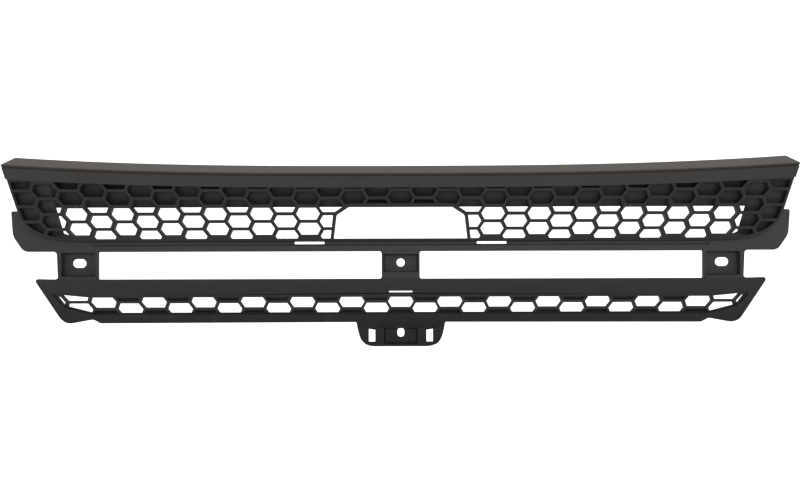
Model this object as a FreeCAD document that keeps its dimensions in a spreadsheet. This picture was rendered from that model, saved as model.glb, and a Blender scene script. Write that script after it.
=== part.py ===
"""Front grille of a bumper: a raked honeycomb under a bowed top bar, on a carrier with posts and rails.

X runs to the right, Y to the back and Z up. The origin is the centre of the locating hole in the
middle post. Every honeycomb, rail and backing plate that leans shares one rake: its top leans forward.
Outlines are drawn in front elevation, as (x, z), and run back along Y.
"""
import FreeCAD, Part
import Sketcher
import math
import os
import re

os.makedirs("parts", exist_ok=True)
doc = FreeCAD.newDocument("front_grille")
sheet = doc.addObject("Spreadsheet::Sheet", "Sheet")

SIZES = {
    # overall
    "flap_width": 974.0,        # over the two end flaps, the widest place
    "flap_beyond": 22.5,        # how far a flap stands out beyond the top bar
    "bar_width": "=flap_width - 2 * flap_beyond",
    "rake": 36.0,               # lean of the honeycombs, in degrees
    "face_y": -10.0,            # front plane of the flaps, posts and upper rail
    "wall": 3.0,                # moulded wall of the carrier
    # top bar
    "bar_foot": 89.8,           # height of the face's lower edge at the middle
    "bar_face": 16.0,           # height of the face
    "bar_bow": 10.3,            # how much higher the bar is at its ends
    "bow_power": 2.8,
    "bar_depth": 36.0,          # shelf, front to back
    "shelf_rise": 19.0,         # slope of the shelf, in degrees
    "bar_wall": 3.0,
    # upper honeycomb
    "mesh_foot": 27.3,          # height of the honeycomb's lower edge
    "mesh_y": -14.5,            # front plane at that height
    "mesh_tuck": 0.9,           # how far the honeycomb reaches up behind the bar, at its ends
    "mesh_top": "=bar_foot + bar_bow + mesh_tuck",
    "mesh_depth": 10.0,         # ribs, front to back
    "rib": 3.7,
    "rim": 3.6,                 # rim round the middle window
    "foot_rim": 2.9,            # lower border of the honeycomb
    "side_rim": 3.0,
    "cell_pitch": 28.25,        # column to column
    "cell_row": 18.0,           # cell to cell in one column
    "cell_base": 33.4,          # height of a rib in the middle column
    "cell_flat": 11.3,          # half the flat edge of a cell
    "corner_length": 69.5,      # rounded lower corner, along X
    "corner_height": 35.7,      # and along Z
    "corner_power": 0.8,        # below one, the corner is fuller than an ellipse
    "window_top": 68.5,
    "window_foot": 30.2,
    "window_knee": 59.5,
    "window_top_half": 62.7,
    "window_knee_half": 78.2,
    "window_foot_half": 84.0,
    "split_x": 66.0,            # where the side and middle honeycombs meet
    "least_cell": 12.0,         # smallest opening that is left open, in square millimetres
    # backing plates
    "back_wall": 2.5,
    "panel_long": 44.0,         # an end panel, along X
    "strip_half": "=bar_width / 2 - panel_long",
    "panel_inner": "=strip_half",
    "stake_radius": 2.2,
    "stake_head": 4.0,          # radius of its flattened end
    "stake_cap": 1.5,
    "stake_drop": 3.0,          # from the honeycomb's top to a pin's axis
    "stake_height": "=mesh_top - stake_drop",
    "stake_step": 116.0,
    "stake_gap": 0.2,
    "gusset_top": 64.0,
    "tab_height": 18.0,
    "screw_height": 57.0,
    "screw_radius": 1.75,
    "screw_head": 3.6,
    "screw_length": 11.0,
    "head_height": 2.4,
    "boss_radius": 4.0,
    "boss_height": 6.0,
    "pilot_depth": 8.0,
    "foot_clear": 3.0,          # how far the panel's foot stops below its gusset's top
    "screw_inset": 11.5,        # from the honeycomb's end to the outer screw
    "screw_outer": "=bar_width / 2 - screw_inset",
    "screw_step": 15.0,
    # carrier
    "rail_foot": 14.2,
    "rail_wall": 3.5,
    "flange_depth": 11.5,
    "flap_top": 65.7,
    "flap_knee": 34.1,
    "flap_cut": 13.0,
    "flap_long": 57.0,          # a flap outside its post
    "post_outer": "=flap_width / 2 - flap_long",
    "post_width": 50.4,
    "post_inner": "=post_outer - post_width",
    "middle_half": 23.8,
    "seat_wall": 3.0,
    "recess_wall": 2.4,
    "middle_recess_top": 10.8,
    "middle_recess_foot": -11.7,
    "side_recess_top": 12.4,
    "side_recess_foot": -15.0,
    "hole_radius": 5.25,
    "slot_spacing": "=post_outer + post_inner",
    "slot_length": 17.0,
    "slot_width": 11.0,
    "slit_x": 114.0,
    "slit_z": 24.9,
    "slit_width": 37.5,
    "slit_height": 3.0,
    "clip_gap": 0.3,
    "clip_wall": 2.5,
    "clip_deep": 2.0,
    "clip_play": 1.0,           # room between a loop's arms and the ledge
    "ledge_height": 1.0,
    "ledge_depth": 1.4,
    "ledge_drop": 1.2,          # from the slit's foot to the ledge's foot
    # lower frame and its honeycomb
    "lower_top": -20.2,
    "lower_inset": 29.0,        # from the flap's end to the lower frame's end
    "lower_half": "=flap_width / 2 - lower_inset",
    "lower_slope": 17.5,        # how far the slanted end comes in
    "lower_foot": -79.4,
    "lip_foot": -78.0,
    "low_mesh_top": -42.0,
    "low_mesh_foot": -66.7,
    "end_frame": 18.0,          # lower frame outside its honeycomb
    "low_mesh_half": "=lower_half - end_frame",
    "low_mesh_set": 3.0,        # how far it sits behind the rail's face
    "low_mesh_depth": 6.5,
    "low_mesh_knee": -53.5,     # height where its pointed end turns
    "low_knee_in": 6.0,
    "low_border": 2.4,
    "blind_floor": 3.0,         # wall behind a blind cell
    "low_pitch": 31.5,
    "low_row": 18.8,
    "low_centre": -50.0,
    "low_flat": 13.15,
    "low_rib": 4.0,
    "low_stretch": 4.0,         # how far a cell stands beyond an even pitch
    "stretch_at": 400.0,        # at this distance from the middle
    "stretch_power": 4.0,
    "low_slit_z": -37.4,
    "low_slit_width": 30.0,
    "low_slit_height": 2.6,
    "low_mesh_tip": 38.0,       # how far its foot stops short of its pointed end
    "notch_inset": 32.0,        # from the lower frame's end to the notch in its foot
    "notch_outer": "=lower_half - notch_inset",
    "notch_rise": 5.0,
    "end_chamfer": 8.0,
    "lip_chamfer": 3.0,
    # bracket
    "bracket_crease": -84.5,    # height where the leaning top of the bracket turns upright
    "bracket_wall": 3.5,
    "bracket_top_half": 58.0,
    "bracket_foot_half": 55.5,
    "bracket_foot": -110.5,
    "bracket_round": 17.0,
    "channel_half": 22.0,
    "channel_depth": 6.0,
    "channel_top": -86.0,
    "key_spacing": 75.4,
    "key_width": 8.4,
    "key_height": 17.4,
    "key_z": -95.3,
    "oval_z": -92.5,
    "oval_width": 9.2,
    "oval_height": 12.0,
}

for row, alias in enumerate(SIZES, start=1):
    sheet.set(f"A{row}", alias)
    sheet.setAlias(f"B{row}", alias)
for row, content in enumerate(SIZES.values(), start=1):
    sheet.set(f"B{row}", str(content))
doc.recompute()

WORDS = re.compile(r"\b(" + "|".join(sorted(SIZES, key=len, reverse=True)) + r")\b")


def bound(text):
    """Write a sum of the sheet's names as an expression that other objects can hold."""
    return WORDS.sub(r"Sheet.\1", str(text))


def size(text):
    """Work out a sum of the sheet's names now."""
    return float(sheet.evalExpression(bound(text).replace("Sheet.", "")))


def tie(thing, **properties):
    """Bind properties of an object to sums of the sheet's names; a double underscore is a dot."""
    for name, text in properties.items():
        thing.setExpression(name.replace("__", "."), bound(text))
    return thing


def elevation(name, points, front, lean="0", base="0"):
    """Sketch a closed outline in front elevation, on an upright plane or a leaning one."""
    sketch = doc.addObject("Sketcher::SketchObject", name)
    turn = FreeCAD.Rotation(FreeCAD.Vector(1, 0, 0), 90 + size(lean))
    sketch.Placement = FreeCAD.Placement(FreeCAD.Vector(0, size(front), size(base)), turn)
    tie(sketch, Placement__Base__y=front, Placement__Base__z=base)
    tie(sketch, Placement__Rotation__Angle=f"(90 + {lean}) * 1 deg")
    sums = [(x, f"(({z}) - ({base})) / cos(({lean}) * 1 deg)") for x, z in points]
    spots = [FreeCAD.Vector(size(x), size(v), 0) for x, v in sums]
    count = len(spots)
    for i in range(count):
        sketch.addGeometry(Part.LineSegment(spots[i], spots[(i + 1) % count]))
    for i in range(count):
        sketch.addConstraint(Sketcher.Constraint("Coincident", i, 2, (i + 1) % count, 1))
    for i, (x, v) in enumerate(sums):
        for kind, text in (("DistanceX", x), ("DistanceY", v)):
            place = spots[i].x if kind == "DistanceX" else spots[i].y
            rule = sketch.addConstraint(Sketcher.Constraint(kind, -1, 1, i, 1, place))
            sketch.setExpression(f"Constraints[{rule}]", bound(text))
    return sketch


def slab(name, points, front, depth, lean="0", base="0"):
    """Run a front outline straight back along Y."""
    run = doc.addObject("Part::Extrusion", name)
    run.Base = elevation(f"{name}_outline", points, front, lean, base)
    run.DirMode = "Custom"
    run.Dir = FreeCAD.Vector(0, 1, 0)
    run.Solid = True
    return tie(run, LengthFwd=depth)


def block(name, x, y, z, wide, deep, high):
    """A box from its lowest corner and its three sizes."""
    box = doc.addObject("Part::Box", name)
    tie(box, Length=wide, Width=deep, Height=high)
    return tie(box, Placement__Base__x=x, Placement__Base__y=y, Placement__Base__z=z)


def rod(name, x, y, z, radius, length):
    """A cylinder that runs back along Y from a point."""
    turn = FreeCAD.Rotation(FreeCAD.Vector(1, 0, 0), -90)
    cylinder = doc.addObject("Part::Cylinder", name)
    cylinder.Placement = FreeCAD.Placement(FreeCAD.Vector(size(x), size(y), size(z)), turn)
    tie(cylinder, Radius=radius, Height=length)
    return tie(cylinder, Placement__Base__x=x, Placement__Base__y=y, Placement__Base__z=z)


def joined(name, pieces):
    fuse = doc.addObject("Part::MultiFuse", name)
    fuse.Shapes = pieces
    return fuse


def cut(name, base, tools):
    """Take one tool or several away from a piece."""
    result = doc.addObject("Part::Cut", name)
    result.Base = base
    result.Tool = tools[0] if len(tools) == 1 else joined(f"{name}_tools", tools)
    return result


def slotted(name, x, z, length, width, front, depth):
    """A cutter for a slot with round ends; the longer of its two sizes sets its direction."""
    flat = size(length) > size(width)
    across = width if flat else length
    reach = f"(({length}) - ({width})) / 2" if flat else f"(({width}) - ({length})) / 2"
    ends = []
    for sign in ("-1", "1"):
        shift = f"{sign} * ({reach})"
        centre = (f"({x}) + {shift}", z) if flat else (x, f"({z}) + {shift}")
        ends.append(rod(f"{name}_end{len(ends)}", centre[0], front, centre[1], f"({across}) / 2", depth))
    wide = f"2 * ({reach})" if flat else across
    high = across if flat else f"2 * ({reach})"
    left, foot = f"({x}) - ({wide}) / 2", f"({z}) - ({high}) / 2"
    middle = block(f"{name}_middle", left, front, foot, wide, depth, high)
    return joined(name, ends + [middle])


def feature(name, shape):
    made = doc.addObject("Part::Feature", name)
    made.Shape = shape
    return made


# ---------------------------------------------------------------- planes that lean and outlines

TAN_RAKE = math.tan(math.radians(size("rake")))
FORWARD = FreeCAD.Vector(0, -1, 0)
OVERLAP = 0.01      # how far pieces that are fused reach into each other
BEYOND = 1.0        # how far a cutter reaches beyond what it cuts
FAR = 500.0         # well outside the whole part


def upper_y(z):
    """Front plane of the upper honeycomb."""
    return size("mesh_y") - TAN_RAKE * (z - size("mesh_foot"))


def lower_y(z):
    """Front plane of the lower rail and lip."""
    return size("face_y") - TAN_RAKE * (z - size("lower_top"))


def bar_low(x):
    """Height of the lower edge of the top bar's face."""
    share = abs(x) / (size("bar_width") / 2)
    return size("bar_foot") + size("bar_bow") * share ** size("bow_power")


def leaning(outline, plane, shift, run, holes=()):
    """A plate whose face lies on a leaning plane, shifted back, and that runs back by a vector."""
    def wire(points):
        spots = [FreeCAD.Vector(x, plane(z) + shift, z) for x, z in points]
        return Part.makePolygon(spots + spots[:1])
    wires = Part.makeCompound([wire(outline)] + [wire(hole) for hole in holes])
    return Part.makeFace(wires, "Part::FaceMakerBullseye").extrude(run)


def back(depth):
    return FreeCAD.Vector(0, depth, 0)


def area(points):
    ring = points + points[:1]
    return 0.5 * sum(a[0] * b[1] - b[0] * a[1] for a, b in zip(ring, ring[1:]))


def clipped(points, start, end, gap=0.0):
    """Keep what lies to the left of the line from start to end, at least gap from it."""
    length = math.dist(start, end)
    normal = ((start[1] - end[1]) / length, (end[0] - start[0]) / length)
    heights = [(p[0] - start[0]) * normal[0] + (p[1] - start[1]) * normal[1] - gap for p in points]
    kept = []
    for i, (p, h) in enumerate(zip(points, heights)):
        q, g = points[(i + 1) % len(points)], heights[(i + 1) % len(points)]
        if h >= 0:
            kept.append(p)
        if (h > 0 > g) or (h < 0 < g):
            share = h / (h - g)
            kept.append((p[0] + share * (q[0] - p[0]), p[1] + share * (q[1] - p[1])))
    return kept if len(kept) > 2 else []


def inset(points, gap):
    """Move every edge of a convex outline inwards."""
    kept = points
    for a, b in zip(points, points[1:] + points[:1]):
        kept = clipped(kept, a, b, gap) if kept else kept
    return kept


def cell(x, z, pitch, row_height, flat, rib):
    """Opening of one flat-topped honeycomb cell."""
    tip = pitch - flat
    half = row_height / 2
    ring = [(x - flat, z - half), (x + flat, z - half), (x + tip, z), (x + flat, z + half),
            (x - flat, z + half), (x - tip, z)]
    return inset(ring, rib / 2)


def mesh_outline():
    """Outline of the upper honeycomb, anticlockwise, with its rounded lower corners."""
    half, foot = size("bar_width") / 2, size("mesh_foot")
    long, high = size("corner_length"), size("corner_height")
    steps, roundness = 8, size("corner_power")
    corner = []
    for i in range(steps + 1):
        turn = math.pi / 2 * i / steps
        across, up = math.sin(turn) ** roundness, math.cos(turn) ** roundness
        corner.append((half - long + long * across, foot + high - high * up))
    right = corner + [(half, size("mesh_top"))]
    return right + [(-x, z) for x, z in reversed(right)]


def window_outline():
    """Opening for the sensor in the middle of the honeycomb, anticlockwise."""
    right = [(size("window_foot_half"), size("window_foot")), (size("window_knee_half"), size("window_knee")),
             (size("window_top_half"), size("window_top"))]
    return right + [(-x, z) for x, z in reversed(right)]


def upper_cells():
    """Openings of the upper honeycomb, kept clear of its borders and of the window's rim."""
    outline, window = mesh_outline(), window_outline()
    edges = list(zip(outline, outline[1:] + outline[:1]))
    sides = list(zip(window, window[1:] + window[:1]))
    openings = []
    last = int(size("bar_width") / 2 / size("cell_pitch")) + 1
    for column in range(-last, last + 1):
        x = column * size("cell_pitch")
        first = 0.5 if column % 2 == 0 else 0.0
        for row in range(6):
            z = size("cell_base") + (row + first) * size("cell_row")
            hole = cell(x, z, size("cell_pitch"), size("cell_row"), size("cell_flat"), size("rib"))
            for start, end in edges:
                flat = abs(end[1] - start[1]) < 1e-6
                gap = size("foot_rim") if flat else size("side_rim")
                hole = clipped(hole, start, end, gap) if hole else hole
            cover = bar_low(x) + size("side_rim")
            hole = clipped(hole, (1, cover), (-1, cover)) if hole else hole
            if hole and inside_window(hole, sides):
                outside = [clipped(hole, end, start, size("rim")) for start, end in sides]
                hole = max(outside, key=lambda piece: abs(area(piece)) if piece else 0.0)
            if hole and abs(area(hole)) > size("least_cell"):
                openings.append(hole)
    return openings


def inside_window(hole, sides):
    """Whether an opening reaches into the window or its rim."""
    kept = hole
    for start, end in sides:
        kept = clipped(kept, start, end, -size("rim")) if kept else kept
    return bool(kept)


# ---------------------------------------------------------------- top bar and upper honeycomb

STAKES = [(i - 2.5) * size("stake_step") for i in range(6)]


def stake(x, radius, start, run):
    """A round pin along Y, kept between two planes behind the honeycomb's face."""
    z, reach = size("stake_height"), 20
    pin = Part.makeCylinder(radius, 3 * reach, FreeCAD.Vector(x, upper_y(z) - reach, z), back(1))
    frame = [(x - reach, z - reach), (x + reach, z - reach), (x + reach, z + reach), (x - reach, z + reach)]
    return pin.common(leaning(frame, upper_y, start, back(run)))


def stake_bores():
    """Clearance holes for the pins."""
    radius = size("stake_radius") + size("stake_gap")
    run = size("mesh_depth") + size("back_wall") + 2 * BEYOND
    return [stake(x, radius, -BEYOND, run) for x in STAKES]


def top_bar():
    """Face and shelf in one bowed shell, with the pins that hold the honeycomb and its backing."""
    half, wall, deep = size("bar_width") / 2, size("bar_wall"), size("bar_depth")
    rise = math.tan(math.radians(size("shelf_rise")))
    front = -wall

    def bowed(reach, low, high, shift, run):
        spots = [i / 12 * reach for i in range(-12, 13)]
        bottom = [FreeCAD.Vector(x, upper_y(bar_low(x) + low) + shift, bar_low(x) + low) for x in spots]
        top = [FreeCAD.Vector(x, upper_y(bar_low(x) + high) + shift, bar_low(x) + high) for x in spots]
        lower, upper = Part.BSplineCurve(), Part.BSplineCurve()
        lower.interpolate(bottom)
        upper.interpolate(top)
        ends = [Part.makeLine(bottom[-1], top[-1]), Part.makeLine(top[0], bottom[0])]
        face = Part.Face(Part.Wire([lower.toShape(), ends[0], upper.toShape(), ends[1]]))
        return face.extrude(FreeCAD.Vector(0, run, run * rise))

    outer = bowed(half, 0, size("bar_face"), front, deep)
    inner = bowed(half - wall, -wall, size("bar_face") - wall - wall * rise, 0, deep)
    room = leaning(mesh_outline(), upper_y, 0, back(size("mesh_depth") + size("back_wall")))
    shell = outer.cut(inner).cut(room)
    length = size("mesh_depth") + size("back_wall")
    pins = []
    for x in STAKES:
        pins.append(stake(x, size("stake_radius"), -wall / 2, length + wall / 2 + size("stake_cap")))
        pins.append(stake(x, size("stake_head"), length, size("stake_cap")))
    return shell.fuse(pins).removeSplitter()


def upper_mesh_whole():
    holes = upper_cells() + [window_outline()]
    plate = leaning(mesh_outline(), upper_y, 0, back(size("mesh_depth")), holes)
    return plate.cut(stake_bores())


def reach_box(low, high, foot, top):
    """A deep box between two places along X and two heights."""
    return Part.makeBox(high - low, 2 * FAR, top - foot, FreeCAD.Vector(low, -FAR, foot))


def upper_mesh_part(whole, low, high):
    """One stretch of the honeycomb, without the sill under the window."""
    sill = reach_box(-size("window_foot_half"), size("window_foot_half"), -FAR, size("window_foot"))
    return whole.common(reach_box(low, high, -FAR, FAR)).cut(sill)


def window_sill(whole):
    """Strip of the honeycomb's border under the window."""
    half = size("window_foot_half")
    return whole.common(reach_box(-half, half, -FAR, size("window_foot")))


half_bar = size("bar_width") / 2
split = size("split_x")
honeycomb = upper_mesh_whole()
top_bar_node = feature("top_bar", top_bar())
mesh_left = feature("upper_mesh_left", upper_mesh_part(honeycomb, -half_bar - 1, -split))
mesh_middle = feature("upper_mesh_middle", upper_mesh_part(honeycomb, -split, split))
mesh_right = feature("upper_mesh_right", upper_mesh_part(honeycomb, split, half_bar + 1))
sill_node = feature("window_sill", window_sill(honeycomb))


# ---------------------------------------------------------------- backing plates

def blanking_strip():
    """Closes the top rows of cells from behind."""
    half = size("strip_half")
    outline = [(-half, size("window_top")), (half, size("window_top")), (half, size("mesh_top")),
               (-half, size("mesh_top"))]
    plate = leaning(outline, upper_y, size("mesh_depth"), back(size("back_wall")))
    return plate.cut(stake_bores())


def screw_places(side):
    return [side * (size("screw_outer") - i * size("screw_step")) for i in range(2)]


def panel_gusset(side):
    """Upright side wall between the panel and the end flap."""
    outer, wall, face = size("bar_width") / 2, size("back_wall"), size("face_y")
    top, low = size("gusset_top"), size("gusset_top") - size("tab_height")
    rear = size("mesh_depth") + wall - OVERLAP
    profile = [(upper_y(top) + rear, top), (face, top), (face, low), (upper_y(low) + rear, low)]
    spots = [FreeCAD.Vector(side * outer, y, z) for y, z in profile]
    return Part.Face(Part.makePolygon(spots + spots[:1])).extrude(FreeCAD.Vector(-side * wall, 0, 0))


def blanking_panel(side):
    """Closes the end cells, with a side wall and a screwed foot that stand on the end flap."""
    inner = side * size("panel_inner")
    shape = clipped(mesh_outline(), (inner, side), (inner, -side))
    plate = leaning(shape, upper_y, size("mesh_depth"), back(size("back_wall")))
    outer, wall, face = size("bar_width") / 2, size("back_wall"), size("face_y")
    reach = outer - size("screw_outer") + size("screw_step") + 2 * size("boss_radius")
    foot_z = size("gusset_top") - size("tab_height")
    corner = FreeCAD.Vector(min(side * outer, side * (outer - reach)), face - wall, foot_z)
    pieces = [panel_gusset(side), Part.makeBox(reach, wall, size("tab_height") - size("foot_clear"), corner)]
    pilots = []
    for x in screw_places(side):
        foot = FreeCAD.Vector(x, face - wall, size("screw_height"))
        pieces.append(Part.makeCylinder(size("boss_radius"), size("boss_height"), foot, FORWARD))
        start = FreeCAD.Vector(x, face, size("screw_height"))
        pilots.append(Part.makeCylinder(size("screw_radius"), size("pilot_depth"), start, FORWARD))
    return plate.fuse(pieces).cut(pilots)


def end_screws():
    """Pan-head self-tapping screws, driven from the back of the flaps into the bosses."""
    screws = []
    head_height = size("head_height")
    for side in (-1, 1):
        for x in screw_places(side):
            seat = FreeCAD.Vector(x, size("face_y") + size("wall"), size("screw_height"))
            head = Part.makeCylinder(size("screw_head"), head_height, seat + back(head_height), FORWARD)
            shank = Part.makeCylinder(size("screw_radius"), size("screw_length"), seat, FORWARD)
            screws.append(head.fuse(shank))
    return Part.makeCompound(screws)


strip_node = feature("blanking_strip", blanking_strip())
panel_left = feature("blanking_panel_left", blanking_panel(-1))
panel_right = feature("blanking_panel_right", blanking_panel(1))
screws_node = feature("end_screws", end_screws())


# ---------------------------------------------------------------- carrier: rail, flaps and posts

def upper_rail():
    """Beam across the top of the wide openings, with two slits for the honeycomb's clips."""
    plate = block("upper_rail_plate", "-post_outer", "face_y", "rail_foot", "2 * post_outer", "rail_wall",
                  "mesh_foot - rail_foot")
    flange = block("upper_rail_flange", "-post_outer", "face_y", "rail_foot", "2 * post_outer",
                   "flange_depth", "wall")
    slits = []
    ledges = []
    for name, side in (("left", "-1"), ("right", "1")):
        middle = f"{side} * slit_x"
        slits.append(block(f"upper_slit_{name}", f"{middle} - slit_width / 2", "face_y - 1",
                           "slit_z - slit_height / 2", "slit_width", "rail_wall + 2", "slit_height"))
        ledges.append(block(f"upper_ledge_{name}", f"{middle} - slit_width / 4",
                            "face_y + rail_wall", "slit_z - slit_height / 2 - ledge_drop",
                            "slit_width / 2", "ledge_depth", "ledge_height"))
    body = joined("upper_rail_body", [plate, flange] + ledges)
    return cut("upper_rail", body, slits)


def clip_loop(name, middle):
    """A loop on the honeycomb's lower border that snaps down over a ledge behind the rail."""
    top, foot = "mesh_foot", "slit_z - slit_height / 2 - ledge_drop - clip_gap - clip_wall"
    front = "face_y + rail_wall + clip_gap"
    reach = "slit_width / 2 + clip_play"
    arms = []
    for label, sign in (("a", "-1"), ("b", "1")):
        low = f"{middle} + {sign} * ({reach})" if sign == "1" else f"{middle} - ({reach}) - clip_wall"
        arms.append(block(f"{name}_arm_{label}", low, front, foot, "clip_wall", "clip_deep",
                          f"{top} - ({foot})"))
    bar = block(f"{name}_bar", f"{middle} - ({reach}) - clip_wall", front, foot,
                f"2 * ({reach}) + 2 * clip_wall", "clip_deep", "clip_wall")
    return joined(name, arms + [bar])


def flap(name, side):
    """Flat flap outside the end of the honeycomb, with a cut lower corner."""
    outer = "flap_width / 2"
    points = [("post_outer", "rail_foot"), (f"{outer} - flap_cut - 2", "rail_foot"),
              (f"{outer} - 2", "flap_knee"), (outer, "flap_top"), ("post_outer", "flap_top")]
    mirrored = [(f"{side} * ({x})", z) for x, z in points]
    if side == "-1":
        mirrored.reverse()
    plate = slab(f"{name}_plate", mirrored, "face_y", "wall")
    bores = []
    for i in range(2):
        bores.append(rod(f"{name}_bore{i}", f"{side} * (screw_outer - {i} * screw_step)", "face_y - 1",
                         "screw_height", "screw_radius + 0.2", "wall + 2"))
    envelope = [(x * 1.001, z - 0.3) for x, z in mesh_outline()]
    depth = size("mesh_depth") + size("back_wall") + 0.3
    pocket = feature(f"{name}_pocket", leaning(envelope, upper_y, 0, back(depth)))
    return cut(name, plate, bores + [pocket])


def side_post(name, side):
    """Outer post with a deep recess and a slotted screw hole."""
    low = "post_inner" if side == "1" else "-post_outer"
    wide = "post_outer - post_inner"
    solid = block(f"{name}_block", low, "face_y", "lower_top", wide, "-face_y + seat_wall / 2",
                  "rail_foot - lower_top")
    recess = block(f"{name}_recess", f"{low} + recess_wall", "face_y - 1", "side_recess_foot",
                   f"{wide} - 2 * recess_wall", "-face_y - seat_wall / 2 + 1",
                   "side_recess_top - side_recess_foot")
    slot = slotted(f"{name}_slot", f"{side} * slot_spacing / 2", "0", "slot_length", "slot_width", "-5", "10")
    return cut(name, solid, [recess, slot])


def middle_post():
    """Middle post with the round locating hole."""
    solid = block("middle_post_block", "-middle_half", "face_y", "lower_top", "2 * middle_half",
                  "-face_y + seat_wall / 2", "rail_foot - lower_top")
    recess = block("middle_post_recess", "-middle_half + 2", "face_y - 1", "middle_recess_foot",
                   "2 * middle_half - 4", "-face_y - seat_wall / 2 + 1",
                   "middle_recess_top - middle_recess_foot")
    hole = rod("middle_post_hole", "0", "-5", "0", "hole_radius", "10")
    return cut("middle_post", solid, [recess, hole])


rail_node = upper_rail()
clip_left = clip_loop("upper_clip_left", "-1 * slit_x")
clip_right = clip_loop("upper_clip_right", "slit_x")
flap_left = flap("end_flap_left", "-1")
flap_right = flap("end_flap_right", "1")
post_left = side_post("side_post_left", "-1")
post_right = side_post("side_post_right", "1")
post_middle = middle_post()


# ---------------------------------------------------------------- lower frame

def end_x(z):
    """The slanted end of the lower frame at a height."""
    share = (size("lower_top") - z) / (size("lower_top") - size("lower_foot"))
    return size("lower_half") - size("lower_slope") * share


def lower_rail():
    """Leaning beam under the wide openings, with a top flange and one slit."""
    top, foot = size("lower_top"), size("low_mesh_top")
    outline = [(-end_x(foot), foot), (end_x(foot), foot), (end_x(top), top), (-end_x(top), top)]
    half, slit_z = size("low_slit_width") / 2, size("low_slit_z")
    low, high = slit_z - size("low_slit_height") / 2, slit_z + size("low_slit_height") / 2
    slit = [(-half, low), (half, low), (half, high), (-half, high)]
    plate = leaning(outline, lower_y, 0, back(size("rail_wall")), [slit])
    wall = size("wall")
    corner = FreeCAD.Vector(-end_x(top), size("face_y") + 0.5, top - wall)
    flange = Part.makeBox(2 * end_x(top), size("flange_depth") - 0.5, wall, corner)
    reach = 10 * wall
    front = [(-FAR, top - reach), (FAR, top - reach), (FAR, top + reach), (-FAR, top + reach)]
    trim = leaning(front, lower_y, -reach, back(reach))
    return plate.fuse(flange.cut(trim)).removeSplitter()


def lower_end(side):
    """End of the lower frame, outside the pointed end of its honeycomb."""
    mesh_top, foot, lip = size("low_mesh_top"), size("lower_foot"), size("low_mesh_foot")
    half = size("low_mesh_half")
    tip, chamfer = size("low_mesh_tip"), size("end_chamfer")
    ring = [(half - tip, lip), (half - size("low_knee_in"), size("low_mesh_knee")), (half, mesh_top),
            (end_x(mesh_top), mesh_top), (end_x(foot + chamfer), foot + chamfer),
            (end_x(foot) - chamfer / 3, foot + chamfer / 4), (end_x(foot) - chamfer, foot),
            (size("notch_outer"), foot), (half - tip, foot + size("notch_rise"))]
    ring = [(side * x, z) for x, z in ring]
    return leaning(ring, lower_y, 0, back(size("rail_wall")))


def lower_lip():
    """Narrow band under the lower honeycomb."""
    half = size("low_mesh_half") - size("low_mesh_tip")
    top, foot = size("low_mesh_foot"), size("lip_foot")
    long, high = size("end_chamfer"), size("lip_chamfer")
    outline = [(-half, top), (-half, foot + high), (-half + long, foot), (half - long, foot),
               (half, foot + high), (half, top)]
    return leaning(outline, lower_y, 0, back(size("rail_wall")))


def low_outline():
    """Outline of the lower honeycomb, anticlockwise, pointed at its ends."""
    half, top, foot = size("low_mesh_half"), size("low_mesh_top"), size("low_mesh_foot")
    knee = (half - size("low_knee_in"), size("low_mesh_knee"))
    right = [(half - size("low_mesh_tip"), foot), knee, (half, top)]
    return right + [(-x, z) for x, z in reversed(right)]


def low_cells():
    """Openings and blind pockets of the lower honeycomb."""
    outline = low_outline()
    edges = list(zip(outline, outline[1:] + outline[:1]))
    through, blind = [], []
    last = int(size("low_mesh_half") / size("low_pitch")) + 1
    for column in range(-last, last + 1):
        even = column * size("low_pitch")
        share = abs(even) / size("stretch_at")
        x = even + math.copysign(size("low_stretch") * share ** size("stretch_power"), even)
        offset = 0.0 if column % 2 == 0 else 0.5
        for row in range(-1, 3):
            z = size("low_centre") + (row - offset) * size("low_row")
            hole = cell(x, z, size("low_pitch"), size("low_row"), size("low_flat"), size("low_rib"))
            for start, end in edges:
                hole = clipped(hole, start, end, size("low_border")) if hole else hole
            if hole and abs(area(hole)) > size("least_cell"):
                near_end = abs(column) > 12
                inner_row = abs(z - size("low_centre") + size("low_row") / 4) < size("low_row") / 2
                (through if inner_row or near_end else blind).append(hole)
    return through, blind


def lower_mesh():
    """Two staggered rows of open cells, with blind half cells above and below them."""
    through, blind = low_cells()
    front, deep = size("low_mesh_set"), size("low_mesh_depth")
    plate = leaning(low_outline(), lower_y, front, back(deep), through)
    run = back(deep - size("blind_floor") + BEYOND)
    return plate.cut([leaning(hole, lower_y, front - BEYOND, run) for hole in blind])


def lower_clip():
    """Loop on the lower honeycomb's upper border that snaps up behind the lower rail."""
    half, wall = size("low_slit_width") / 2 + size("clip_play"), size("clip_wall")
    foot = size("low_mesh_top")
    bar = size("low_slit_z") + size("low_slit_height") / 2 + size("clip_play")
    ring = [(-half - wall, foot), (-half, foot), (-half, bar), (half, bar), (half, foot), (half + wall, foot),
            (half + wall, bar + wall), (-half - wall, bar + wall)]
    return leaning(ring, lower_y, size("rail_wall") + size("clip_gap"), back(size("clip_deep")))


lower_rail_node = feature("lower_rail", lower_rail())
lower_end_left = feature("lower_end_left", lower_end(-1))
lower_end_right = feature("lower_end_right", lower_end(1))
lower_lip_node = feature("lower_lip", lower_lip())
lower_mesh_node = feature("lower_mesh", lower_mesh())
lower_clip_node = feature("lower_clip", lower_clip())


# ---------------------------------------------------------------- bracket

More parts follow.
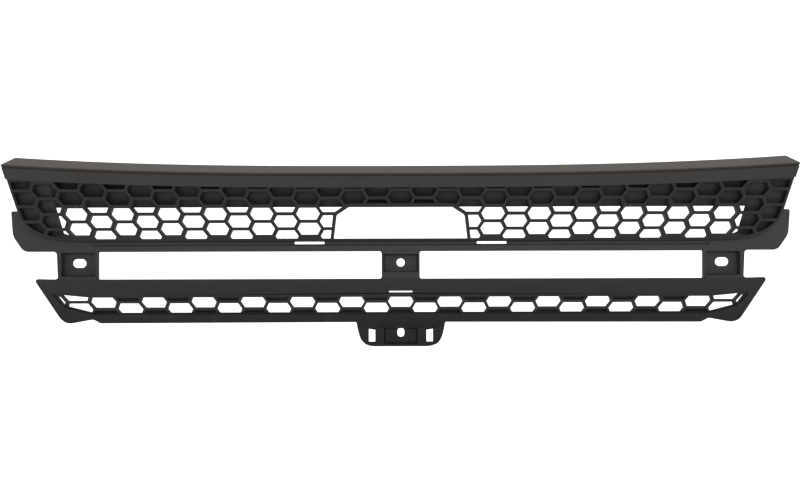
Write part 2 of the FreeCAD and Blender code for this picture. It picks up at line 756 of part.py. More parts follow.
def bracket():
    """Hanging bracket with two key slots beside a recessed channel that holds an oval screw hole."""
    crease = "bracket_crease"
    front = "face_y + tan(rake * 1 deg) * (lower_top - bracket_crease)"
    points = [("-bracket_foot_half + bracket_round", "bracket_foot"),
              ("bracket_foot_half - bracket_round", "bracket_foot"),
              ("bracket_foot_half - bracket_round / 3", "bracket_foot + bracket_round / 3"),
              ("bracket_foot_half", "bracket_foot + bracket_round"),
              ("bracket_top_half - 1", crease), ("-bracket_top_half + 1", crease),
              ("-bracket_foot_half", "bracket_foot + bracket_round"),
              ("-bracket_foot_half + bracket_round / 3", "bracket_foot + bracket_round / 3")]
    plate = slab("bracket_plate", points, front, "bracket_wall")
    neck = slab("bracket_neck", [("-bracket_top_half + 1", crease), ("bracket_top_half - 1", crease),
                                 ("bracket_top_half", "lip_foot"), ("-bracket_top_half", "lip_foot")],
                front, "bracket_wall", "rake", crease)
    hump = block("bracket_hump", "-channel_half - bracket_wall", front, "bracket_foot",
                 "2 * channel_half + 2 * bracket_wall", "channel_depth + bracket_wall",
                 "bracket_crease - bracket_foot")
    channel = block("bracket_channel", "-channel_half", f"{front} - 1", "bracket_foot + 1.5",
                    "2 * channel_half", "channel_depth + 1", "channel_top - bracket_foot - 1.5")
    keys = []
    for name, side in (("left", "-1"), ("right", "1")):
        keys.append(block(f"bracket_key_{name}", f"{side} * key_spacing / 2 - key_width / 2", f"{front} - 1",
                          "key_z - key_height / 2", "key_width", "bracket_wall + 2", "key_height"))
    oval = slotted("bracket_oval", "0", "oval_z", "oval_width", "oval_height", front, "20")
    return cut("bracket", joined("bracket_body", [plate, neck, hump]), [channel, oval] + keys)


bracket_node = bracket()

# ---------------------------------------------------------------- write every piece

NODES = [top_bar_node, mesh_left, mesh_middle, mesh_right, sill_node, strip_node, panel_left, panel_right,
         screws_node, rail_node, clip_left, clip_right, flap_left, flap_right, post_left, post_right,
         post_middle, lower_rail_node, lower_end_left, lower_end_right, lower_lip_node, lower_mesh_node,
         lower_clip_node, bracket_node]

doc.recompute()
for thing in doc.Objects:
    if "Invalid" in thing.State or "Error" in thing.State:
        raise RuntimeError(f"{thing.Name} did not build: {thing.State}")
for node in NODES:
    if node.Shape.isNull() or not node.Shape.isValid():
        raise RuntimeError(f"{node.Label} has no valid shape")
for node in NODES:
    node.Shape.exportStep(f"parts/{node.Label}.step")
    print(node.Label, len(node.Shape.Solids), round(node.Shape.Volume / 1000, 2))
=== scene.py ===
import math
import bmesh
import bpy
from mathutils import Matrix, Vector


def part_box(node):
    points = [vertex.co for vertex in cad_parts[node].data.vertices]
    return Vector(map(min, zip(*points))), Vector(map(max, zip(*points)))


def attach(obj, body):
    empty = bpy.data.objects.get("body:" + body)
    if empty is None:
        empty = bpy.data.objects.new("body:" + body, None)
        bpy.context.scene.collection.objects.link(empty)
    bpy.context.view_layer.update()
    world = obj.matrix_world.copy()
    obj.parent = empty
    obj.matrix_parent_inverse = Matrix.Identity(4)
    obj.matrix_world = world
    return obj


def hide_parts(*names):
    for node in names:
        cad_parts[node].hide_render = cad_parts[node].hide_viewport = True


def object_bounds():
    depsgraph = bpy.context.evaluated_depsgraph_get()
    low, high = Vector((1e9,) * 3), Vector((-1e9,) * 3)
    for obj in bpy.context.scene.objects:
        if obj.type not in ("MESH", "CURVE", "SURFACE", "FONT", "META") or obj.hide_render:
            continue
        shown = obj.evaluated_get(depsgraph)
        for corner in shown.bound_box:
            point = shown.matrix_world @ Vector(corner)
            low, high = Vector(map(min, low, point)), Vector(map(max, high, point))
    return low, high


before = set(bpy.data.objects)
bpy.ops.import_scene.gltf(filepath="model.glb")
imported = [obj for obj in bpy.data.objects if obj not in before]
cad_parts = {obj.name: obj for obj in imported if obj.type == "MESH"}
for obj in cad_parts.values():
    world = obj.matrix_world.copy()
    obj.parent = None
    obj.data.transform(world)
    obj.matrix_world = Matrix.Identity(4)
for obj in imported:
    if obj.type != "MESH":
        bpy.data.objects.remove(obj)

cad_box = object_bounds()

# ------------------------------------------------------------------ carrier
# The carrier is one shell of black glass-filled polypropylene, moulded in a single shot. It holds the
# flaps, the upper and lower rails, three posts with sunk screw seats, the lower lip and the bracket.
# Its wall is two to three millimetres, turned back round the wide openings to stiffen them.

MM = 0.001
TAN_RAKE = math.tan(math.radians(36))


class Value:
    """A socket of a material that can be added, multiplied and so on, and can be clamped."""

    def __init__(self, finish, socket):
        self.finish = finish
        self.socket = socket

    def sum(self, operation, first, second):
        node = self.finish.node("ShaderNodeMath", {"operation": operation}, [first, second])
        return Value(self.finish, node.outputs[0])

    def __add__(self, other):
        return self.sum("ADD", self, other)

    def __radd__(self, other):
        return self.sum("ADD", other, self)

    def __sub__(self, other):
        return self.sum("SUBTRACT", self, other)

    def __rsub__(self, other):
        return self.sum("SUBTRACT", other, self)

    def __mul__(self, other):
        return self.sum("MULTIPLY", self, other)

    def __rmul__(self, other):
        return self.sum("MULTIPLY", other, self)

    def __pow__(self, other):
        return self.sum("POWER", self, other)

    def between(self, low, high):
        """Runs from 0 at low to 1 at high, and stays within them."""
        settings = {"clamp": True}
        node = self.finish.node("ShaderNodeMapRange", settings, [self, low, high, 0.0, 1.0])
        return Value(self.finish, node.outputs[0])


class Finish:
    """A material whose nodes are added one by one."""

    def __init__(self, name):
        self.material = bpy.data.materials.new(name)
        self.material.use_nodes = True
        self.tree = self.material.node_tree
        self.tree.nodes.clear()

    def node(self, kind, settings, inputs):
        """Adds a node: its settings first, then the values or links of its sockets, by name or in order."""
        node = self.tree.nodes.new(kind)
        for name, setting in settings.items():
            setattr(node, name, setting)
        pairs = inputs.items() if isinstance(inputs, dict) else enumerate(inputs)
        for key, given in pairs:
            given = given.socket if isinstance(given, Value) else given
            if isinstance(given, bpy.types.NodeSocket):
                self.tree.links.new(given, node.inputs[key])
            else:
                node.inputs[key].default_value = given
        return node

    def place(self):
        return self.node("ShaderNodeTexCoord", {}, {}).outputs["Object"]

    def noise(self, place, scale, detail, roughness=0.5):
        settings = {"noise_dimensions": "3D"}
        inputs = {"Vector": place, "Scale": scale, "Detail": detail, "Roughness": roughness}
        return Value(self, self.node("ShaderNodeTexNoise", settings, inputs).outputs["Fac"])

    def blend(self, share, first, second):
        """A colour between two colours."""
        node = self.node("ShaderNodeMix", {"data_type": "RGBA"}, {0: share, 6: first, 7: second})
        return node.outputs[2]

    def bump(self, height, distance, strength=1.0):
        inputs = {"Height": height, "Distance": distance, "Strength": strength}
        return self.node("ShaderNodeBump", {}, inputs).outputs["Normal"]

    def shade(self, **inputs):
        """Ends the material in one Principled shader."""
        named = {name.replace("_", " "): given for name, given in inputs.items()}
        shader = self.node("ShaderNodeBsdfPrincipled", {}, named)
        self.node("ShaderNodeOutputMaterial", {}, {"Surface": shader.outputs[0]})
        return self.material


def plastic(name, dark, light, rough, grain, foot=None):
    """Moulded plastic with an eroded grain, broad flow marks and a few dusty patches.

    With a foot colour, painted shade darkens the plastic from that colour at its foot to its own at the rails."""
    finish = Finish(name)
    place = finish.place()
    flow = finish.noise(place, 9.0, 3.0)
    fine = finish.noise(place, 1.0 / grain, 2.0, 0.6)
    coarse = finish.noise(place, 0.25 / grain, 3.0)
    dust = finish.noise(place, 38.0, 6.0, 0.65).between(0.52, 0.74)
    tone = (flow * 0.6 + fine * 0.4).between(0.3, 0.7)
    colour = finish.blend(tone, (*dark, 1.0), (*light, 1.0))
    # Painted shade: the colour darkens by height towards the foot colour, standing in for light that falls off
    # towards the bottom.
    if foot:
        height = finish.node("ShaderNodeSeparateXYZ", {}, [place]).outputs["Z"]
        rise = Value(finish, height).between(-0.1, 0.03)
        colour = finish.blend(rise, (*foot, 1.0), colour)
    dusty = finish.blend(dust * 0.16, colour, (0.115, 0.108, 0.1, 1.0))
    gloss = rough + (flow - 0.5) * 0.12 + (fine - 0.5) * 0.16 + dust * 0.06
    normal = finish.bump(fine * 0.7 + coarse * 0.3, grain * 0.22)
    return finish.shade(Base_Color=dusty, Roughness=gloss, Normal=normal, Specular_IOR_Level=0.42)


def rounded(corners):
    """Loop of points through a few corners (x, z) in millimetres; a third number is a corner's setback."""
    shape = bmesh.new()
    points = [shape.verts.new((corner[0] * MM, 0, corner[1] * MM)) for corner in corners]
    shape.faces.new(points)
    for point, corner in zip(points, corners):
        if len(corner) > 2:
            bmesh.ops.bevel(shape, geom=[point], offset=corner[2] * MM, offset_type="OFFSET", segments=6,
                            profile=0.5, affect="VERTICES", material=-1)
    shape.faces.ensure_lookup_table()
    loop = [vert.co.copy() for vert in shape.faces[0].verts]
    shape.free()
    return loop


def both_sides(right):
    """A whole outline from its right half, given from the bottom up."""
    return right + [(-corner[0], *corner[1:]) for corner in reversed(right)]


def slot_with_round_ends(x, z, long, wide, upright=False):
    """Corners of a slot whose ends are half circles."""
    half, edge = (wide / 2, long / 2) if upright else (long / 2, wide / 2)
    setback = wide / 2 * 0.999
    return [(x - half, z - edge, setback), (x + half, z - edge, setback),
            (x + half, z + edge, setback), (x - half, z + edge, setback)]


def box_corners(left, right, foot, top, setback):
    return [(left, foot, setback), (right, foot, setback), (right, top, setback), (left, top, setback)]


def draw_loop(mesh, loop, y=0.0):
    """Adds a closed loop of edges; gives its points and its edges."""
    points = [mesh.verts.new((co.x, y, co.z)) for co in loop]
    edges = [mesh.edges.new(pair) for pair in zip(points, points[1:] + points[:1])]
    return points, edges


def fill(mesh, edges):
    bmesh.ops.triangle_fill(mesh, use_beauty=True, use_dissolve=False, edges=edges, normal=(0, -1, 0))


def merge_flats(mesh):
    """Takes out the edges that lie inside flat faces."""
    bmesh.ops.dissolve_limit(mesh, angle_limit=math.radians(0.4), use_dissolve_boundaries=False,
                             verts=mesh.verts[:], edges=mesh.edges[:])


def edges_between(edges, points):
    ends = set(points)
    return [edge for edge in edges if edge.verts[0] in ends and edge.verts[1] in ends]


def turn_back(mesh, edges, depth):
    """Turns a wall back from some edges; gives its far points and edges."""
    grown = bmesh.ops.extrude_edge_only(mesh, edges=edges)["geom"]
    points = [part for part in grown if isinstance(part, bmesh.types.BMVert)]
    bmesh.ops.translate(mesh, verts=points, vec=(0, depth, 0))
    edges = [part for part in grown if isinstance(part, bmesh.types.BMEdge)]
    return points, edges_between(edges, points)


def seat(mesh, rim_edges, depth, hole):
    """Sinks a seat with slightly drawn-in walls from its rim, with a hole in its floor."""
    points, floor = turn_back(mesh, rim_edges, depth)
    middle = sum((point.co for point in points), Vector()) / len(points)
    bmesh.ops.scale(mesh, verts=points, vec=(0.965, 1.0, 0.94), space=Matrix.Translation(-middle))
    level = points[0].co.y
    fill(mesh, floor + draw_loop(mesh, rounded(hole), level)[1])


def face_forward(mesh):
    """Points an open shell's faces to the front."""
    bmesh.ops.recalc_face_normals(mesh, faces=mesh.faces[:])
    lean = sum(face.normal.y * face.calc_area() for face in mesh.faces)
    if lean > 0:
        bmesh.ops.reverse_faces(mesh, faces=mesh.faces[:])


def finished(name, mesh, material, nodes, wall=0.0, edge=0.0, segments=2):
    """Makes a piece from a mesh, gives it a wall and rounded edges, and puts it on the frame."""
    for face in mesh.faces:
        face.smooth = True
    data = bpy.data.meshes.new(name)
    mesh.to_mesh(data)
    mesh.free()
    piece = bpy.data.objects.new(name, data)
    bpy.context.scene.collection.objects.link(piece)
    data.materials.append(material)
    if wall:
        thick = piece.modifiers.new("wall", "SOLIDIFY")
        thick.thickness = wall
        thick.offset = -1.0
        thick.solidify_mode = "NON_MANIFOLD"
        thick.nonmanifold_thickness_mode = "CONSTRAINTS"
    if edge:
        soft = piece.modifiers.new("edges", "BEVEL")
        soft.width = edge
        soft.segments = segments
        soft.limit_method = "ANGLE"
        soft.angle_limit = math.radians(28)
        soft.use_clamp_overlap = False
        soft.harden_normals = True
    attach(piece, "root")
    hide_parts(*nodes)
    return piece


post_low, post_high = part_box("side_post_right")
middle_low, middle_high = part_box("middle_post")
FACE_Y = post_low.y
SEAT_Y = -1.5 * MM
CREASE_Z = post_low.z
BRACKET_CREASE = -84.5 * MM
REBATE_Z = 22.9 * MM            # the rail steps back above this height, under the honeycomb
REBATE_DEEP = 1.4 * MM
REBATE_HALF, REBATE_END = 384 * MM, 408 * MM


def carrier_y(z):
    """Front of the carrier at a height: upright, then leaning back, then upright again at the bracket."""
    leaning = max(CREASE_Z - max(z, BRACKET_CREASE), 0.0)
    return FACE_Y + TAN_RAKE * leaning


carrier_outline = both_sides([
    (41, -110.3, 7), (50.5, -105, 6), (55.8, -93, 8), (58, -78.2, 1.2),
    (391.5, -79.0, 2.5), (399.5, -73.6, 2), (433.5, -79.8, 6), (441.3, -74.5, 5), (458.6, -20.2, 4.6),
    (428.8, -20.2, 3.6), (430.2, 14.7, 3.6), (471.3, 14.7, 5.5), (484.9, 34.1, 5), (487, 65.7, 3),
    (432, 65.7, 2), (431, 41, 4), (396, 29.4, 6)])
wide_opening = [(23.8, -20.2, 2.8), (379.6, -20.2, 1.2), (379.6, 14.2, 1.2), (23.8, 14.2, 2.8)]
comb_opening = both_sides([(399, -66.9, 9), (433.5, -56.5, 9), (441.8, -39.5, 2.2), (436.5, -37.6, 2.5), (384, -41.8, 12)])
post_seat = box_corners(382.0, 424.5, -16.4, 13.2, 1.4)
middle_seat = box_corners(-21.6, 21.6, -11.7, 10.8, 1.2)
bracket_seat = box_corners(-22, 22, -106.8, -86.3, 1.5)
rail_slit = box_corners(114 - 18.75, 114 + 18.75, 23.4, 26.4, 1.2)
lower_slit = box_corners(-15, 15, -38.7, -36.1, 1.1)
key_slot = box_corners(37.7 - 4.2, 37.7 + 4.2, -104, -86.6, 0.5)


def mirrored(corners):
    return [(-corner[0], *corner[1:]) for corner in reversed(corners)]


carrier = bmesh.new()
outline_edges = draw_loop(carrier, rounded(carrier_outline))[1]
openings = [draw_loop(carrier, rounded(each)) for each in (wide_opening, mirrored(wide_opening), comb_opening)]
seats = [draw_loop(carrier, rounded(each)) for each in (post_seat, mirrored(post_seat), middle_seat, bracket_seat)]
slits = [draw_loop(carrier, rounded(each))
         for each in (rail_slit, mirrored(rail_slit), lower_slit, key_slot, mirrored(key_slot))]
fill(carrier, carrier.edges[:])
for z in (CREASE_Z, BRACKET_CREASE, REBATE_Z - 1.3 * MM, REBATE_Z):
    everything = carrier.verts[:] + carrier.edges[:] + carrier.faces[:]
    bmesh.ops.bisect_plane(carrier, geom=everything, dist=0.1 * MM, plane_co=(0, 0, z), plane_no=(0, 0, 1))
for x in (-REBATE_END, -REBATE_HALF, REBATE_HALF, REBATE_END):
    upper = [face for face in carrier.faces if face.calc_center_median().z > REBATE_Z]
    parts = {part for face in upper for part in (face, *face.edges, *face.verts)}
    bmesh.ops.bisect_plane(carrier, geom=list(parts), dist=1e-6, plane_co=(x, 0, 0), plane_no=(1, 0, 0))
for vert in carrier.verts:
    in_rebate = vert.co.z > REBATE_Z - 1e-6 and abs(vert.co.x) < REBATE_HALF + 1e-6
    vert.co.y = carrier_y(vert.co.z) + (REBATE_DEEP if in_rebate else 0)
for points, edges in openings[:2]:
    turn_back(carrier, [edge for edge in edges if edge.is_valid], 8.5 * MM)
turn_back(carrier, [edge for edge in openings[2][1] if edge.is_valid], 4.5 * MM)
seat_depth = SEAT_Y - FACE_Y
seat(carrier, seats[0][1], seat_depth, slot_with_round_ends(404.8, 0, 17, 11))
seat(carrier, seats[1][1], seat_depth, slot_with_round_ends(-404.8, 0, 17, 11))
seat(carrier, seats[2][1], seat_depth, slot_with_round_ends(0, 0, 10.5, 10.5))
seat(carrier, seats[3][1], 6 * MM, slot_with_round_ends(0, -92.5, 12, 9.2, upright=True))
face_forward(carrier)

# The last colour is painted shade: it darkens the carrier's lower rail, lip and bracket towards the bottom.
carrier_plastic = plastic("carrier_plastic", (0.045, 0.0435, 0.0435), (0.06, 0.058, 0.057), 0.5, 0.0007,
                          (0.005, 0.005, 0.0052))
finished("carrier", carrier, carrier_plastic,
         ["upper_rail", "end_flap_left", "end_flap_right", "side_post_left", "side_post_right", "middle_post",
          "lower_rail", "lower_end_left", "lower_end_right", "lower_lip", "bracket"], wall=2.0 * MM, edge=0.5 * MM)

# ------------------------------------------------------------------ lower honeycomb
# A slim strip of honeycomb in black plastic, moulded with two staggered rows of open cells between
# rows of blind half cells. Its rim stands a little proud and closes the carrier's long opening.


def comb(pitch, row, flat, base, columns, rows):
    """Flat-topped cells side by side; every second column is half a cell lower."""
    cells = bmesh.new()
    tip = pitch - flat
    ring = [(-tip, 0), (-flat, -row / 2), (flat, -row / 2), (tip, 0), (flat, row / 2), (-flat, row / 2)]
    for column in range(-columns, columns + 1):
        for step in range(rows):
            z = base + (step - 0.5 * (column % 2)) * row
            cells.faces.new([cells.verts.new(((column * pitch + x) * MM, 0, (z + up) * MM)) for x, up in ring])
    bmesh.ops.remove_doubles(cells, verts=cells.verts[:], dist=0.01 * MM)
    return cells


def trim(mesh, start, end, faces=None, keep=False):
    """Cuts along the line from start to end and takes away what lies to its right, unless it is kept."""
    faces = mesh.faces[:] if faces is None else faces
    parts = set(faces)
    for face in faces:
        parts.update(face.edges)
        parts.update(face.verts)
    away = Vector(((end[1] - start[1]), 0, -(end[0] - start[0]))).normalized()
    bmesh.ops.bisect_plane(mesh, geom=list(parts), dist=0.001 * MM, clear_outer=not keep,
                           plane_co=(start[0] * MM, 0, start[1] * MM), plane_no=away)


def trim_to(mesh, loop, gap):
    """Cuts the cells to a convex outline, given anticlockwise, less a gap."""
    for start, end in zip(loop, loop[1:] + loop[:1]):
        length = math.dist(start, end)
        inward = (-(end[1] - start[1]) / length * gap, (end[0] - start[0]) / length * gap)
        trim(mesh, (start[0] + inward[0], start[1] + inward[1]), (end[0] + inward[0], end[1] + inward[1]))


def grow_border(mesh, width):
    """Adds a flat band outside the outline; gives its outer points."""
    outline = [edge for edge in mesh.edges if edge.is_boundary]
    outward = {}
    for edge in outline:
        first, second = (vert.co for vert in edge.verts)
        away = (second - first).cross(Vector((0, 1, 0))).normalized()
        if away.dot((first + second) / 2 - edge.link_faces[0].calc_center_median()) < 0:
            away.negate()
        for vert in edge.verts:
            outward.setdefault(vert.co.to_tuple(6), []).append(away)
    grown = bmesh.ops.extrude_edge_only(mesh, edges=outline)["geom"]
    points = [part for part in grown if isinstance(part, bmesh.types.BMVert)]
    for point in points:
        first, second = outward[point.co.to_tuple(6)]
        point.co += (first + second) * width / (1 + first.dot(second))
    return points


SHORTEST = 1.3 * MM             # shorter edges, left by the cuts, are closed up


def make_ribs(mesh, rib, border, least):
    """Turns cells into ribs and a border, and leaves cells narrower than the least one solid.

    Gives the flat bottoms of the cells, the crests of the ribs and the points of the border."""
    bmesh.ops.remove_doubles(mesh, verts=mesh.verts[:], dist=SHORTEST)
    crests = mesh.verts[:]
    roomy = []
    for face in mesh.faces:
        radius = 2 * face.calc_area() / sum(edge.calc_length() for edge in face.edges)
        if radius > least * MM:
            roomy.append(face)
    bmesh.ops.inset_individual(mesh, faces=roomy, thickness=rib / 2 * MM, depth=0, use_even_offset=True)
    edge_points = {vert for edge in mesh.edges if edge.is_boundary for vert in edge.verts}
    crests = [vert for vert in crests if vert not in edge_points]
    return roomy, crests, grow_border(mesh, border * MM)


def thicken(mesh, depth):
    """Gives an open front its sides and its back."""
    grown = bmesh.ops.extrude_face_region(mesh, geom=mesh.faces[:], use_keep_orig=True)["geom"]
    points = [part for part in grown if isinstance(part, bmesh.types.BMVert)]
    bmesh.ops.translate(mesh, verts=points, vec=(0, depth, 0))


low_outline = [(-399, -67.4), (399, -67.4), (434.6, -57.0), (443.0, -37.4), (437.0, -37.0),
               (-437.0, -37.0), (-443.0, -37.4), (-434.6, -57.0)]
low_comb = comb(31.5, 18.8, 13.15, -68.8, 14, 4)
for vert in low_comb.verts:
    vert.co.x += math.copysign(4 * MM * (abs(vert.co.x) / (400 * MM)) ** 4, vert.co.x)
low_border = 0.9
trim_to(low_comb, low_outline, low_border)
low_top = -41.2 - low_border
for start, end in ((-400, 400), (400, 437), (-437, -400)):
    column = [face for face in low_comb.faces if start < face.calc_center_median().x / MM < end]
    rise = [4.2 * max(abs(x) - 384, 0) / 53 if start * end > 0 else 0 for x in (start, end)]
    trim(low_comb, (start, low_top + rise[0]), (end, low_top + rise[1]), column, keep=True)
beyond = []
for face in low_comb.faces:
    middle = face.calc_center_median() / MM
    rise = 4.2 * (abs(middle.x) - 384) / 53 if abs(middle.x) > 400 else 0
    if middle.z > low_top + rise:
        beyond.append(face)
bmesh.ops.delete(low_comb, geom=beyond, context="FACES")
cells, crests, rim = make_ribs(low_comb, 3.7, low_border, 2.2)
blind = []
through = []
for face in cells:
    middle = face.calc_center_median() / MM
    open_cell = abs(middle.x) > 400 or -62 < middle.z < -47
    (through if open_cell else blind).append(face)
bmesh.ops.delete(low_comb, geom=through, context="FACES_ONLY")
for vert in low_comb.verts:
    vert.co.y = carrier_y(vert.co.z) + 3 * MM
bmesh.ops.translate(low_comb, verts=crests, vec=(0, -0.5 * MM, 0))
thicken(low_comb, 6.5 * MM)
bmesh.ops.translate(low_comb, verts=rim, vec=(0, -2.4 * MM, 0))
sunk = bmesh.ops.extrude_discrete_faces(low_comb, faces=blind)["faces"]
bmesh.ops.translate(low_comb, verts=list({vert for face in sunk for vert in face.verts}), vec=(0, 3.5 * MM, 0))
bmesh.ops.recalc_face_normals(low_comb, faces=low_comb.faces[:])

comb_plastic = plastic("comb_plastic", (0.024, 0.0237, 0.0235), (0.036, 0.0352, 0.0345), 0.46, 0.0005)
finished("lower_honeycomb", low_comb, comb_plastic, ["lower_mesh"], edge=0.45 * MM)

# ------------------------------------------------------------------ upper honeycomb
# The main honeycomb, moulded in one piece with its rounded lower corners and with a rimmed window for
# a sensor. Its face leans forward to the top, and its cells run straight back.

half_width = 464.5
comb_face = -14.5
comb_foot = 27.3
corner_long, corner_high = 69.5, 35.7
corner = []
for step in range(9):
    turn = math.pi / 2 * step / 8
    corner.append((half_width - corner_long + corner_long * math.sin(turn) ** 0.8,
                   comb_foot + corner_high - corner_high * math.cos(turn) ** 0.8))
right_side = corner + [(half_width, 100.6)]
main_outline = right_side + [(-x, z) for x, z in reversed(right_side)]
window = [(84.0, 30.2), (78.2, 59.5), (62.7, 68.5)]


def upper_y(z):
    """Front of the upper honeycomb at a height."""
    return comb_face * MM - TAN_RAKE * (z - comb_foot * MM)


main_comb = comb(28.25, 18.0, 11.3, 24.4 + 18.0, 17, 5)
lower_row = comb(28.25, 18.0, 11.3, 24.4, 17, 1)
spare = bpy.data.meshes.new("spare")
lower_row.to_mesh(spare)
lower_row.free()
main_comb.from_mesh(spare)
bpy.data.meshes.remove(spare)
bmesh.ops.remove_doubles(main_comb, verts=main_comb.verts[:], dist=0.01 * MM)
main_border = 1.35
window_cut = 69.4               # the window's roof follows a row of ribs
trim_to(main_comb, main_outline, main_border)
for side in (-1, 1):
    jamb = [(side * 84.0 + side * 0.64 * main_border, 30.2), (side * 78.2 + side * main_border, 59.5)]
    knee = [jamb[1], (side * 62.7 + side * 0.5 * main_border, window_cut)]
    head = [(side * 62.7, window_cut), (0, window_cut)]
    for (start, end), low, high, foot, top in ((jamb, 62, 104, 20, 62), (knee, 56, 86, 56, 72),
                                               (head, 0, 70, 55, 80)):
        near = []
        for face in main_comb.faces:
            middle = face.calc_center_median() / MM
            if low <= middle.x * side <= high and foot <= middle.z <= top:
                near.append(face)
        trim(main_comb, start, end, near, keep=True)


def in_window(middle):
    """Whether a place lies inside the sensor's window."""
    across = abs(middle.x)
    jamb_x = 84.0 + main_border - (middle.z - 30.2) * 5.8 / 29.3
    knee_z = 59.5 + (78.2 + main_border - across) * 9.9 / 16.15
    return across < jamb_x and middle.z < window_cut and (across < 62.7 or middle.z < knee_z)


doomed = [face for face in main_comb.faces if in_window(face.calc_center_median() / MM)]
bmesh.ops.delete(main_comb, geom=doomed, context="FACES")
cells, crests, rim = make_ribs(main_comb, 3.7, main_border, 4.6)
bmesh.ops.delete(main_comb, geom=cells, context="FACES_ONLY")
for vert in main_comb.verts:
    vert.co.y = upper_y(vert.co.z)
bmesh.ops.translate(main_comb, verts=crests, vec=(0, -0.5 * MM, 0))
thicken(main_comb, 10 * MM)
bmesh.ops.recalc_face_normals(main_comb, faces=main_comb.faces[:])
finished("upper_honeycomb", main_comb, comb_plastic,
         ["upper_mesh_left", "upper_mesh_middle", "upper_mesh_right"], edge=0.55 * MM)

rim_width = 3.6
sensor_rim = bmesh.new()
outer_rim = [(84.0 + rim_width, 27.3), (78.2 + rim_width, 61.0), (62.7 + 0.4 * rim_width, 68.5 + rim_width)]
draw_loop(sensor_rim, rounded([(*outer_rim[0],), (*outer_rim[1], 1.5), (*outer_rim[2], 2.5)]
                              + [(-outer_rim[2][0], outer_rim[2][1], 2.5), (-outer_rim[1][0], outer_rim[1][1], 1.5),
                                 (-outer_rim[0][0], outer_rim[0][1])]))
draw_loop(sensor_rim, rounded([(*window[0],), (*window[1], 3), (*window[2], 3),
                               (-window[2][0], window[2][1], 3), (-window[1][0], window[1][1], 3),
                               (-window[0][0], window[0][1])]))
fill(sensor_rim, sensor_rim.edges[:])
for vert in sensor_rim.verts:
    vert.co.y = upper_y(vert.co.z) - 0.6 * MM
merge_flats(sensor_rim)
thicken(sensor_rim, 10.9 * MM)
bmesh.ops.recalc_face_normals(sensor_rim, faces=sensor_rim.faces[:])
finished("sensor_window_rim", sensor_rim, comb_plastic, ["window_sill"], edge=0.6 * MM)

# ------------------------------------------------------------------ backing plates, clips and screws
# Flat plates close the top rows and the end cells from behind. They are plain mouldings, pinned to the
# top bar and screwed to the flaps. Loops on the honeycombs snap over ledges behind the rails' slits.


def softened(name, node, material, edge, segments=2):
    """The frame's own solid with its facets merged and its edges rounded."""
    mesh = bmesh.new()
    mesh.from_mesh(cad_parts[node].data)
    bmesh.ops.remove_doubles(mesh, verts=mesh.verts[:], dist=0.002 * MM)
    merge_flats(mesh)
    return finished(name, mesh, material, [node], edge=edge, segments=segments)


# Painted light: the strip behind the top rows is lighter than the honeycomb's plastic, brightening the backs of the
# pockets it closes.
backing_plastic_painted_light = plastic("backing_plastic_painted_light", (0.036, 0.035, 0.034), (0.05, 0.049, 0.0475), 0.58, 0.0006)
softened("blanking_strip_plate", "blanking_strip", backing_plastic_painted_light, 0.4 * MM)
# Painted light: the end panels are lighter still, so the backs of the end cells read as bright as the ribs.
panel_plastic_painted_light = plastic("panel_plastic_painted_light", (0.058, 0.057, 0.055), (0.074, 0.072, 0.07), 0.58, 0.0006)
for node in ("blanking_panel_left", "blanking_panel_right"):
    softened(f"{node}_plate", node, panel_plastic_painted_light, 0.4 * MM)
for node in ("upper_clip_left", "upper_clip_right", "lower_clip"):
    softened(f"{node}_loop", node, comb_plastic, 0.4 * MM)


def zinc_plate():
    """Bright zinc plating on steel, with a faint yellow bloom and fine scratches."""
    finish = Finish("zinc_plate")
    place = finish.place()
    bloom = finish.noise(place, 260.0, 3.0).between(0.35, 0.7)
    scratches = finish.noise(place, 2400.0, 2.0, 0.7)
    colour = finish.blend(bloom, (0.52, 0.52, 0.51, 1.0), (0.6, 0.57, 0.5, 1.0))
    return finish.shade(Base_Color=colour, Metallic=1.0, Roughness=0.3 + scratches * 0.2,
                        Normal=finish.bump(scratches, 0.00003))


softened("panel_screws", "end_screws", zinc_plate(), 0.35 * MM)

# ------------------------------------------------------------------ top bar
# The trim over the honeycomb: one bowed moulding in a satin dark grey, with a leaning face, a fine
# groove along its top edge and a shelf that rises to the back. Its pins carry the honeycomb.

bar_foot, bar_face, bar_bow, bow_power = 89.8, 16.0, 10.3, 2.8
shelf_deep = 36.0
shelf_rise = math.tan(math.radians(19))
bar_wall = 2.8
groove = 1.3


def bar_low(x):
    """Height of the face's lower edge, in metres."""
    return (bar_foot + bar_bow * (abs(x) / (half_width * MM)) ** bow_power) * MM


def along_face(height, behind):
    """Place on the bar's profile, from the foot of its face up and back."""
    return (behind - TAN_RAKE * height, height)


profile = [along_face(0, 0), along_face(bar_face - 3.4, 0), along_face(bar_face - 3.0, 1.5),
           along_face(bar_face - 1.7, 1.5), along_face(bar_face - 1.3, 0.1), along_face(bar_face, 0.1),
           (-TAN_RAKE * bar_face + shelf_deep, bar_face + shelf_rise * shelf_deep)]
lengths = 56
bar = bmesh.new()
bmesh.ops.create_grid(bar, x_segments=lengths, y_segments=len(profile) - 1, size=1.0)
for vert in bar.verts:
    x = vert.co.x * half_width * MM
    share = round((vert.co.y + 1) / 2 * (len(profile) - 1))
    behind, up = profile[share]
    foot = bar_low(x)
    vert.co = Vector((x, upper_y(foot) - 3 * MM + behind * MM, foot + up * MM))
for side in (-1, 1):
    ends = [vert for vert in bar.verts if abs(vert.co.x - side * half_width * MM) < 1e-6]
    ends.sort(key=lambda vert: vert.co.y + vert.co.z * 3)
    foot_point = min(ends, key=lambda vert: vert.co.z)
    rear_point = max(ends, key=lambda vert: vert.co.y)
    drop = Vector((0, TAN_RAKE * bar_face * MM, -bar_face * MM))
    corner_point = bar.verts.new(rear_point.co + drop)
    ends.sort(key=lambda vert: vert.co.z)
    bar.faces.new(ends + [corner_point])
bmesh.ops.recalc_face_normals(bar, faces=bar.faces[:])
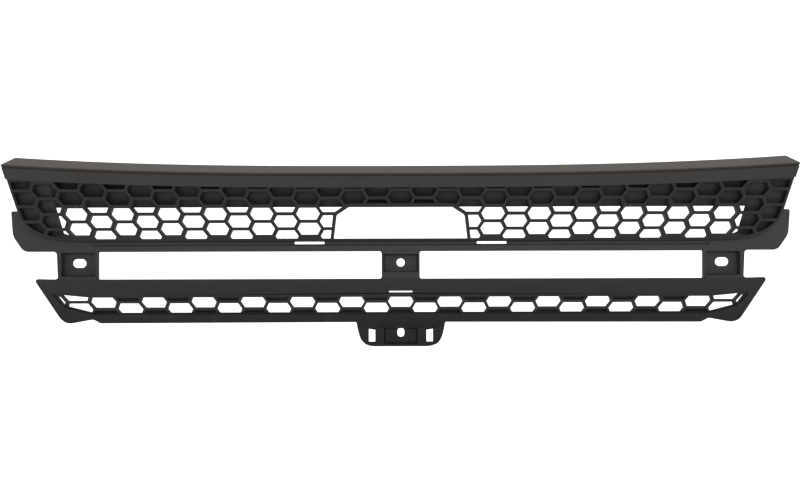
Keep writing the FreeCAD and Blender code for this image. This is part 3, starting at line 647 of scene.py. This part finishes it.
if sum(face.normal.z * face.calc_area() for face in bar.faces) < 0:
    bmesh.ops.reverse_faces(bar, faces=bar.faces[:])
trim_plastic = plastic("trim_plastic", (0.051, 0.0478, 0.0453), (0.067, 0.0625, 0.0588), 0.44, 0.0009)
finished("top_bar_trim", bar, trim_plastic, ["top_bar"], wall=bar_wall * MM, edge=0.3 * MM, segments=2)

# ------------------------------------------------------------------ studio
# A pale floor that turns up into a round white backdrop, with soft light from above and in front.

cad_low, cad_high = cad_box
studio = bmesh.new()
bmesh.ops.create_circle(studio, cap_ends=True, radius=4.0, segments=96)
walls = bmesh.ops.extrude_edge_only(studio, edges=[edge for edge in studio.edges if edge.is_boundary])["geom"]
bmesh.ops.translate(studio, verts=[part for part in walls if isinstance(part, bmesh.types.BMVert)], vec=(0, 0, 5))
bmesh.ops.translate(studio, verts=studio.verts[:], vec=(0, 0, cad_low[2] - 0.25))
for face in studio.faces:
    face.smooth = True
backdrop_data = bpy.data.meshes.new("backdrop")
studio.to_mesh(backdrop_data)
studio.free()
backdrop = bpy.data.objects.new("backdrop", backdrop_data)
bpy.context.scene.collection.objects.link(backdrop)
paper = Finish("pale_paper")
backdrop_data.materials.append(paper.shade(Base_Color=(0.9, 0.9, 0.9, 1), Roughness=0.9,
                                           Emission_Color=(1, 1, 1, 1), Emission_Strength=1.0))
backdrop.visible_diffuse = False
backdrop.visible_glossy = False
backdrop.visible_shadow = False

world = bpy.data.worlds.new("studio_air")
bpy.context.scene.world = world
world.use_nodes = True
world.node_tree.nodes["Background"].inputs[0].default_value = (1, 0.985, 0.965, 1)
world.node_tree.nodes["Background"].inputs[1].default_value = 0.5


def soft_light(name, place, target, wide, high, power, colour, spread=180):
    """A soft box that faces a place; a grid on it can narrow its beam."""
    data = bpy.data.lights.new(name, "AREA")
    data.shape = "RECTANGLE"
    data.size = wide
    data.size_y = high
    data.energy = power
    data.color = colour
    data.spread = math.radians(spread)
    lamp = bpy.data.objects.new(name, data)
    lamp.location = place
    lamp.rotation_euler = (Vector(target) - Vector(place)).to_track_quat("-Z", "Y").to_euler()
    bpy.context.scene.collection.objects.link(lamp)


soft_light("overhead_box", (0, -0.5, 1.5), (0, 0, 0.05), 2.4, 1.2, 14, (1, 0.78, 0.6))
soft_light("front_box", (0.3, -2.2, 0.7), (0, 0, 0.2), 2.2, 0.6, 3.2, (1, 0.985, 0.97), 90)

scene = bpy.context.scene
scene.view_settings.view_transform = "Standard"
camera_data = bpy.data.cameras.new("camera")
camera_data.sensor_width = 36
camera_data.lens = 36
camera = bpy.data.objects.new("camera", camera_data)
camera.location = (-0.0008, -1.010, 0.0158)
camera.rotation_euler = (math.radians(90), math.radians(0.17), 0)
scene.collection.objects.link(camera)
scene.camera = camera
